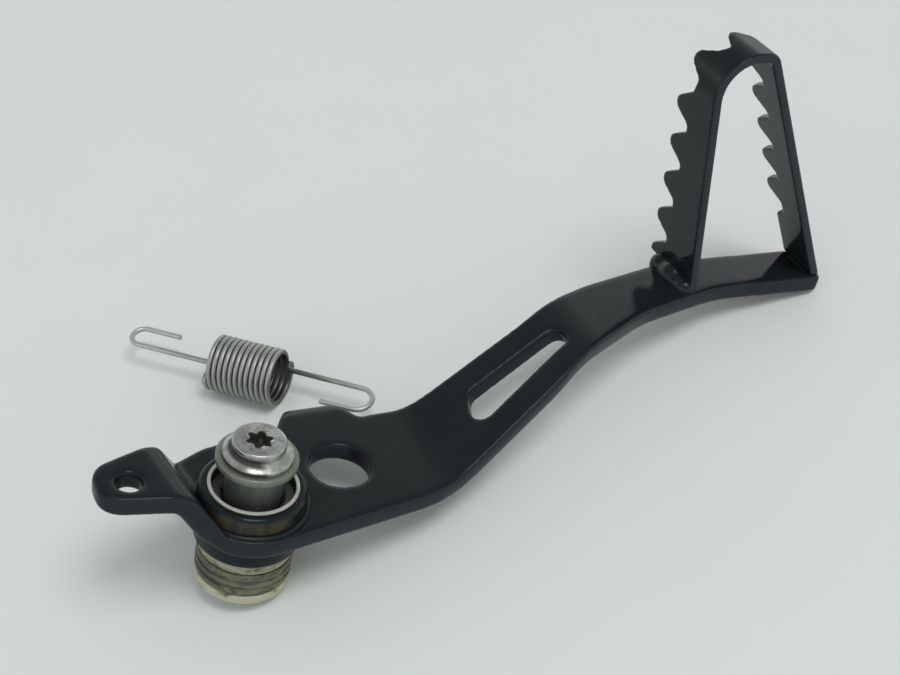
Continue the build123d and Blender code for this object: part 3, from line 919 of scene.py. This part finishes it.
def grimy_spacer():
    """Spacer under oily, olive-brown grime that is thickest in its grooves."""
    recipe = Recipe("grimy_spacer")
    tone = finishes()
    sizes = pivot_sizes()
    waist = sizes.spacer_radius - sizes.groove_depth
    deep = recipe.ramp(recipe.radius(), sizes.spacer_radius - 0.1 * MM, waist)
    blotch = recipe.noise(130.0, 6.0, 0.7, stretch=(1.0, 1.0, 3.6), coordinates=recipe.pivot, distortion=0.7)
    dirt = recipe.maths("ADD", recipe.ramp(blotch, 0.36, 0.62), recipe.product(deep, 0.12))
    shade = recipe.blend(recipe.noise(90.0, 3.0), tone.spacer_dark, tone.spacer)
    colour_now = recipe.blend(recipe.ramp(dirt, 0.0, 1.0), shade, tone.grime)
    rough = recipe.ramp(blotch, 0.3, 0.7, 0.5, 0.28)
    return recipe.finish(colour_now, rough, recipe.bump(recipe.noise(520.0, 4.0, 0.65), 5e-5))


# The spring keeps on its mesh how far a face looks out from the coil, and this number on its hooks
HOOK_CREST = 1.5
# Colour of the painted shade between the coil's turns
WIRE_VALLEY_SHADE = (0.10, 0.105, 0.09)


def spring_wire():
    """Drawn, plated spring wire, duller on the coil, with painted shade where the turns touch."""
    recipe = Recipe("spring_wire")
    tone = finishes().spring
    crest = recipe.attribute("crest")
    mottled = recipe.noise(420.0, 5.0, 0.65)
    # Painted shade between the turns, from how far a face looks out from the coil, with a little random
    # mottle
    valley_shade = recipe.maths("ADD", recipe.ramp(crest, 0.82, 0.2), recipe.ramp(mottled, 0.45, 0.8, 0.0, 0.25))
    hooks = recipe.blend(mottled, dimmed(tone, 0.86), tone)
    coil = recipe.blend(mottled, dimmed(tone, 0.62), dimmed(tone, 0.76))
    cloudy = recipe.blend(recipe.ramp(crest, 1.0, HOOK_CREST), coil, hooks)
    colour_now = recipe.blend(recipe.ramp(valley_shade, 0.0, 1.0, 0.0, 0.8), cloudy, WIRE_VALLEY_SHADE)
    rough = recipe.ramp(mottled, 0.3, 0.7, 0.4, 0.55)
    return recipe.finish(colour_now, rough, recipe.bump(recipe.noise(1500.0, 3.0, 0.6), 6e-6), metallic=1.0)


class PEDAL_OT_lever(bpy.types.Operator):
    """Dress the folded lever plate with its pushrod tab"""

    bl_idname = "pedal.lever"
    bl_label = "Lever"

    def execute(self, context):
        sizes = context.scene.pedal_pressed
        nodes = ("lever_plate", "pushrod_tab")
        piece = softened_copy("lever", nodes, sizes.lever_grain, sizes.lever_rounds)
        finish = black_paint("lever_paint", finishes().lever_front_sheen)
        settle(piece, PEDAL, "black_paint", finish, *nodes)
        return {"FINISHED"}


class PEDAL_OT_step(bpy.types.Operator):
    """Dress the toothed foot step"""

    bl_idname = "pedal.step"
    bl_label = "Foot step"

    def execute(self, context):
        sizes = context.scene.pedal_pressed
        piece = softened_copy("toothed_step", ["foot_step"], sizes.step_grain, sizes.step_rounds)
        finish = black_paint("step_paint", finishes().step_front_sheen)
        settle(piece, PEDAL, "black_paint", finish, "foot_step")
        return {"FINISHED"}


RING_POINTS = 120


class PEDAL_OT_welds(bpy.types.Operator):
    """Lay the weld beads at the step's legs and round the boss"""

    bl_idname = "pedal.welds"
    bl_label = "Welds"

    def execute(self, context):
        s = context.scene.pedal_weld
        finish = weld_paint()
        tree, identifiers = bead_tree()
        rear = [s.rear_from, s.rear_to]
        front = [s.front_from, s.front_to]
        angles = [2 * math.pi * k / RING_POINTS for k in range(RING_POINTS)]
        ring = [(s.ring_radius * math.cos(a), s.ring_radius * math.sin(a), s.ring_high) for a in angles]
        # Each bead's piece, node, line, radius, pitch, unevenness, seed and rounds of smoothing
        beads = [
            ("rear_leg_bead", "rear_step_weld", rear, s.rear_radius, s.rear_pitch, 0.38, 8, 44),
            ("front_leg_bead", "front_step_weld", front, s.front_radius, s.front_pitch, 0.05, 2, 24),
            ("boss_bead", "boss_weld", ring, s.ring_bead, s.ring_pitch, 0.03, 7, 24),
        ]
        for name, node, line, radius, pitch, uneven, seed, rounds in beads:
            inputs = {"Radius": radius, "Pitch": pitch, "Uneven": uneven, "Seed": seed, "Material": finish}
            piece = lay_beads(name, tree, identifiers, inputs, line, rounds, ring=line is ring)
            settle(piece, PEDAL, "weld_paint", finish, node)
        return {"FINISHED"}


class PEDAL_OT_boss(bpy.types.Operator):
    """Turn the pivot boss"""

    bl_idname = "pedal.boss"
    bl_label = "Pivot boss"

    def execute(self, context):
        sizes = context.scene.pedal_pivot
        points = [
            (sizes.boss_bore, sizes.boss_low),
            (sizes.boss_radius, sizes.boss_low),
            (sizes.boss_radius, sizes.boss_high),
            (sizes.boss_bore, sizes.boss_high),
        ]
        small = sizes.turned_edge / 2
        piece = turned_ring("boss", points, [small, sizes.boss_round, sizes.boss_round, small])
        settle(piece, PEDAL, "black_paint", greasy_paint(), "pivot_boss")
        return {"FINISHED"}


class PEDAL_OT_bushes(bpy.types.Operator):
    """Turn the two bushes and their dust seals"""

    bl_idname = "pedal.bushes"
    bl_label = "Bushes and seals"

    def execute(self, context):
        s = context.scene.pedal_pivot
        tone = finishes()
        small = s.turned_edge / 2
        floor = s.rim_high - s.pocket_depth
        inside = s.boss_bore - s.rim_wall
        upper = [
            (s.bush_bore, s.bush_split),
            (s.boss_bore, s.bush_split),
            (s.boss_bore, s.rim_high),
            (inside, s.rim_high),
            (inside, floor),
            (s.bush_bore, floor),
        ]
        piece = turned_ring("rim_bush", upper, [small, small, small, small, 0, small])
        # Below the rim's top the bush gets painted shade, for the inside of the seal pocket
        rim_cream = cream_plastic("rim_cream", tone.rim, 0.56, 0.74, s.seat_depth + s.rim_high - small)
        settle(piece, PEDAL, "bush_cream", rim_cream, "upper_bush")
        lower = [
            (s.bush_bore, s.flange_low + s.seal_high),
            (s.lower_seal, s.flange_low + s.seal_high),
            (s.lower_seal, s.flange_low),
            (s.bush_flange, s.flange_low),
            (s.bush_flange, s.boss_low),
            (s.boss_bore, s.boss_low),
            (s.boss_bore, -s.bush_split),
            (s.bush_bore, -s.bush_split),
        ]
        rounds = [small, 0, small, s.turned_edge, s.turned_edge, 0, small, small]
        piece = turned_ring("foot_bush", lower, rounds)
        foot_cream = cream_plastic("foot_cream", tone.foot, 0.40, 0.70)
        settle(piece, PEDAL, "bush_cream", foot_cream, "lower_bush")
        rubber = seal_rubber()
        seals = {
            "upper_lip": ("upper_seal", inside, floor),
            "lower_lip": ("lower_seal", s.lower_seal, s.flange_low),
        }
        lip = 2 * s.turned_edge
        for name, (node, outside, low) in seals.items():
            high = low + s.seal_high
            section = [
                (s.seal_bore, low),
                (outside, low),
                (outside, high),
                (s.seal_bore + lip, high),
                (s.seal_bore, high - lip),
            ]
            piece = turned_ring(name, section, [small] * len(section))
            settle(piece, PEDAL, "seal_rubber", rubber, node)
        return {"FINISHED"}


class PEDAL_OT_bolt(bpy.types.Operator):
    """Turn the pivot collar and the flange bolt"""

    bl_idname = "pedal.bolt"
    bl_label = "Bolt and collar"

    def execute(self, context):
        s = context.scene.pedal_pivot
        edge = s.turned_edge
        collar = [
            (s.collar_bore, -s.seat_depth),
            (s.collar_radius, -s.seat_depth),
            (s.collar_radius, s.collar_under),
            (s.collar_flange, s.collar_under),
            (s.collar_flange, s.collar_high),
            (s.collar_bore, s.collar_high),
        ]
        piece = turned_ring("collar", collar, [edge / 2, edge, edge, 2 * edge, 2 * edge, edge / 2])
        settle(piece, HARDWARE, "collar_steel", turned_steel(), "pivot_collar")
        rim = s.collar_high + s.bolt_flange_high
        neck = s.collar_high + s.bolt_neck_high
        top = s.collar_high + s.bolt_head_high
        outside = [
            (0.0, -s.seat_depth),
            (s.bolt_radius - edge, -s.seat_depth),
            (s.bolt_radius, edge - s.seat_depth),
            (s.bolt_radius, s.collar_high),
            (s.bolt_flange, s.collar_high),
            (s.bolt_flange, rim),
            (s.bolt_neck, neck),
            (s.bolt_head, neck + edge),
            (s.bolt_head, top),
            (s.recess_radius + 2 * edge, top),
        ]
        rounds = [0, 0, 0, edge / 2, edge / 2, edge / 2, edge, edge / 2, 1.6 * edge, 0]
        profile = [tuple(point) for point in rounded_line(outside, rounds)]
        floor = top - s.recess_depth
        profile += [
            (s.recess_radius + edge / 2, top, s.recess_lobe),
            (s.recess_radius + edge / 6, top - edge / 6, s.recess_lobe),
            (s.recess_radius, top - edge / 2, s.recess_lobe),
            (s.recess_radius, floor + edge, s.recess_lobe),
            (s.recess_radius - edge, floor, s.recess_lobe * 0.8),
            (0.0, floor - edge / 2),
        ]
        piece = new_piece("flange_bolt", turned_mesh("flange_bolt", profile, closed=False))
        settle(piece, HARDWARE, "bolt_steel", bolt_steel(), "pivot_bolt")
        return {"FINISHED"}


class PEDAL_OT_stack(bpy.types.Operator):
    """Turn the grooved spacer and the seat washer"""

    bl_idname = "pedal.stack"
    bl_label = "Spacer and washer"

    def execute(self, context):
        s = context.scene.pedal_pivot
        edge = s.turned_edge
        spacer = [(s.spacer_bore, s.spacer_low), (s.spacer_radius, s.spacer_low)]
        rounds = [edge / 2, edge]
        waist = s.spacer_radius - s.groove_depth
        for share in (1 / 3, 2 / 3):
            middle = s.spacer_low + (s.spacer_high - s.spacer_low) * share
            low = middle - s.groove_width / 2
            high = middle + s.groove_width / 2
            spacer += [(s.spacer_radius, low), (waist, low), (waist, high), (s.spacer_radius, high)]
            rounds += [edge / 2, edge, edge, edge / 2]
        spacer += [(s.spacer_radius, s.spacer_high), (s.spacer_bore, s.spacer_high)]
        rounds += [edge, edge / 2]
        piece = turned_ring("grooved_spacer", spacer, rounds)
        settle(piece, HARDWARE, "spacer_grimy", grimy_spacer(), "lower_spacer")
        washer = [
            (s.spacer_bore, -s.seat_depth),
            (s.washer_radius, -s.seat_depth),
            (s.washer_radius, s.spacer_low),
            (s.spacer_bore, s.spacer_low),
        ]
        piece = turned_ring("cream_washer", washer, [edge / 2, edge, 2 * edge, edge / 2])
        finish = cream_plastic("washer_cream", finishes().washer, 0.54, 0.74)
        settle(piece, HARDWARE, "washer_cream", finish, "seat_washer")
        return {"FINISHED"}


TURN_STEPS = 40
BEND_STEPS = 8
CUT_SHARE = 1 / 8


def hook_line(s, half, run_in, lead, leg, back):
    """One hook from its open end to the coil: return leg, half turn, leg and the bend into the first turn."""
    bend = s.hook_turn * abs(back - leg)
    flat = rounded_line(
        [
            (-half - s.hook_return, back),
            (-half - s.hook_reach, back),
            (-half - s.hook_reach, leg),
            (-half, leg),
            (-half, -run_in),
        ],
        [0, bend, bend, s.hook_bend, 0],
    )
    line = [Vector((point.x, point.y, 0)) for point in flat]
    line.insert(1, line[0] - Vector((s.wire * CUT_SHARE, 0, 0)))
    last = math.pi + lead
    for k in range(1, BEND_STEPS):
        angle = math.pi / 2 + (last - math.pi / 2) * k / BEND_STEPS
        aside = s.hook_bend * math.cos(angle) - run_in
        line.append(Vector((-half, aside, s.hook_bend * (math.sin(angle) - 1))))
    return line


def spring_line(s):
    """The spring's middle line on the bench, from one hook through the coil to the other hook."""
    run_in = math.sqrt((s.coil_radius - s.hook_bend) ** 2 - s.hook_bend**2)
    lead = math.atan2(s.hook_bend, run_in)
    turns = s.turns - 0.5 - lead / math.pi
    pitch = s.wire + s.coil_gap
    half = pitch * turns / 2
    line = hook_line(s, half, run_in, lead, s.left_leg, s.left_back)
    steps = round(turns * TURN_STEPS)
    for k in range(steps + 1):
        angle = math.pi + lead + 2 * math.pi * turns * k / steps
        x = -half + 2 * half * k / steps
        line.append(Vector((x, s.coil_radius * math.cos(angle), s.coil_radius * math.sin(angle))))
    right = hook_line(s, half, run_in, lead, s.right_leg, s.right_back)
    line += [Vector((-point.x, -point.y, point.z)) for point in reversed(right)]
    lie = Matrix.Rotation(s.turn, 3, "Z")
    middle = Vector(s.middle)
    middle.z = CAD_BOX[0].z + s.coil_radius + s.wire / 2
    return [middle + lie @ point for point in line], middle, lie @ Vector((1, 0, 0)), half


class PEDAL_OT_spring(bpy.types.Operator):
    """Wind the return spring and its two hooks"""

    bl_idname = "pedal.spring"
    bl_label = "Return spring"

    def execute(self, context):
        s = context.scene.pedal_spring
        line, middle, axis, half = spring_line(s)
        mesh = bpy.data.meshes.new("wound_spring")
        mesh.from_pydata(line, [(i, i + 1) for i in range(len(line) - 1)], [])
        piece = new_piece("wound_spring", mesh)
        finish = spring_wire()
        inputs = {"Wire": s.wire, "Sides": s.sides, "Cut": s.wire * CUT_SHARE, "Material": finish}
        grow(piece, *wire_tree(), inputs)
        mesh = bake(piece)
        mesh.set_sharp_from_angle(angle=SHARP_ANGLE)
        crests = []
        for vertex in mesh.vertices:
            offset = vertex.co - middle
            along = offset.dot(axis)
            outward = (offset - axis * along).normalized()
            on_coil = abs(along) < half + s.wire
            crests.append(vertex.normal.dot(outward) if on_coil else HOOK_CREST)
        keep_on_mesh(mesh, "crest", crests)
        settle(piece, HARDWARE, "spring_wire", finish, "return_spring")
        return {"FINISHED"}


def pale_floor(tone):
    """Matt pale board with a faint mottle."""
    recipe = Recipe("pale_floor")
    mottle = recipe.noise(14.0, 5.0, 0.6)
    colour_now = recipe.blend(mottle, dimmed(tone, 0.97), tuple(tone))
    grain = recipe.bump(recipe.noise(900.0, 3.0, 0.6), 1e-5)
    return recipe.finish(colour_now, recipe.ramp(mottle, 0.0, 1.0, 0.6, 0.72), grain, Specular_IOR_Level=0.2)


# The room's light from the horizon up to overhead: sine of the height and brightness
ROOM_LEVELS = [
    (0.0, 0.85),
    (0.12, 1.1),
    (0.20, 1.4),
    (0.29, 1.4),
    (0.36, 0.85),
    (0.45, 0.70),
    (0.55, 0.52),
    (0.67, 0.42),
    (0.80, 0.42),
    (0.92, 0.45),
    (1.0, 0.48),
]
ROOM_TONE = (0.955, 1.0, 0.995)


def studio_world():
    """A soft room: bright low down, darker overhead."""
    world = bpy.data.worlds.new("soft_room")
    bpy.context.scene.world = world
    world.use_nodes = True
    tree = world.node_tree
    back = tree.nodes["Background"]
    ways = tree.nodes.new("ShaderNodeTexCoord").outputs["Generated"]
    split = tree.nodes.new("ShaderNodeSeparateXYZ")
    tree.links.new(ways, split.inputs[0])
    rise = tree.nodes.new("ShaderNodeValToRGB")
    tree.links.new(split.outputs[2], rise.inputs[0])
    stops = rise.color_ramp.elements
    while len(stops) < len(ROOM_LEVELS):
        stops.new(1.0)
    for stop, (position, level) in zip(stops, ROOM_LEVELS):
        stop.position = position
        stop.color = (*dimmed(ROOM_TONE, level), 1.0)
    tree.links.new(rise.outputs[0], back.inputs["Color"])
    back.inputs["Strength"].default_value = 1.0


def soft_lamp(name, where, aim, width, watts, tone):
    """A round soft light that looks at a point."""
    light = bpy.data.lights.new(name, "AREA")
    light.shape = "DISK"
    light.size = width
    light.energy = watts
    light.color = tone
    lamp = bpy.data.objects.new(name, light)
    bpy.context.scene.collection.objects.link(lamp)
    lamp.location = where
    lamp.rotation_euler = (aim - Vector(where)).to_track_quat("-Z", "Y").to_euler()


class PEDAL_OT_stage(bpy.types.Operator):
    """Lay the floor, hang the lights and set the camera"""

    bl_idname = "pedal.stage"
    bl_label = "Stage"

    def execute(self, context):
        s = context.scene.pedal_stage
        reach = s.floor_reach
        level = CAD_BOX[0].z
        mesh = bpy.data.meshes.new("floor")
        mesh.from_pydata(
            [(-reach, -reach, level), (reach, -reach, level), (reach, reach, level), (-reach, reach, level)],
            [],
            [(0, 1, 2, 3)],
        )
        mesh.materials.append(pale_floor(s.floor))
        new_piece("floor", mesh)
        studio_world()
        middle = (CAD_BOX[0] + CAD_BOX[1]) / 2
        soft_lamp("key", s.key_place, middle, s.key_width, s.key_power, (1.0, 1.0, 0.98))
        soft_lamp("fill", s.fill_place, middle, s.fill_width, s.fill_power, (0.9, 0.96, 1.0))
        lens = bpy.data.cameras.new("photo_view")
        lens.lens = s.lens
        lens.sensor_width = 36.0
        lens.sensor_fit = "HORIZONTAL"
        lens.clip_start = 0.01
        camera = bpy.data.objects.new("photo_view", lens)
        context.scene.collection.objects.link(camera)
        look = Vector(s.camera_look).normalized()
        right = look.cross(Vector(s.camera_up)).normalized()
        up = right.cross(look)
        turn = Matrix((right, up, -look)).transposed().to_4x4()
        camera.matrix_world = Matrix.Translation(Vector(s.camera_place)) @ turn
        context.scene.camera = camera
        context.scene.view_settings.view_transform = "Standard"
        return {"FINISHED"}


OPERATORS = (
    PEDAL_OT_lever,
    PEDAL_OT_step,
    PEDAL_OT_welds,
    PEDAL_OT_boss,
    PEDAL_OT_bushes,
    PEDAL_OT_bolt,
    PEDAL_OT_stack,
    PEDAL_OT_spring,
    PEDAL_OT_stage,
)


class PEDAL_PT_pieces(bpy.types.Panel):
    """Lists the pieces of the pedal"""

    bl_idname = "PEDAL_PT_pieces"
    bl_label = "Rear brake pedal"
    bl_space_type = "VIEW_3D"
    bl_region_type = "UI"
    bl_category = "Pedal"

    def draw(self, context):
        column = self.layout.column()
        for operator in OPERATORS:
            column.operator(operator.bl_idname)


GROUPS = {
    "pedal_pressed": PressedSizes,
    "pedal_pivot": PivotSizes,
    "pedal_weld": WeldSizes,
    "pedal_spring": SpringSizes,
    "pedal_finishes": Finishes,
    "pedal_stage": StageSizes,
}


def register():
    """Registers the sizes, the operators and the panel."""
    for name, group in GROUPS.items():
        bpy.utils.register_class(group)
        setattr(bpy.types.Scene, name, bpy.props.PointerProperty(type=group))
    for operator in OPERATORS:
        bpy.utils.register_class(operator)
    bpy.utils.register_class(PEDAL_PT_pieces)


def unregister():
    """Takes them away again."""
    bpy.utils.unregister_class(PEDAL_PT_pieces)
    for operator in reversed(OPERATORS):
        bpy.utils.unregister_class(operator)
    for name, group in reversed(GROUPS.items()):
        delattr(bpy.types.Scene, name)
        bpy.utils.unregister_class(group)


def main():
    """Makes every piece and the stage."""
    register()
    bpy.ops.pedal.lever()
    bpy.ops.pedal.step()
    bpy.ops.pedal.welds()
    bpy.ops.pedal.boss()
    bpy.ops.pedal.bushes()
    bpy.ops.pedal.bolt()
    bpy.ops.pedal.stack()
    bpy.ops.pedal.spring()
    bpy.ops.pedal.stage()


if __name__ == "__main__":
    main()
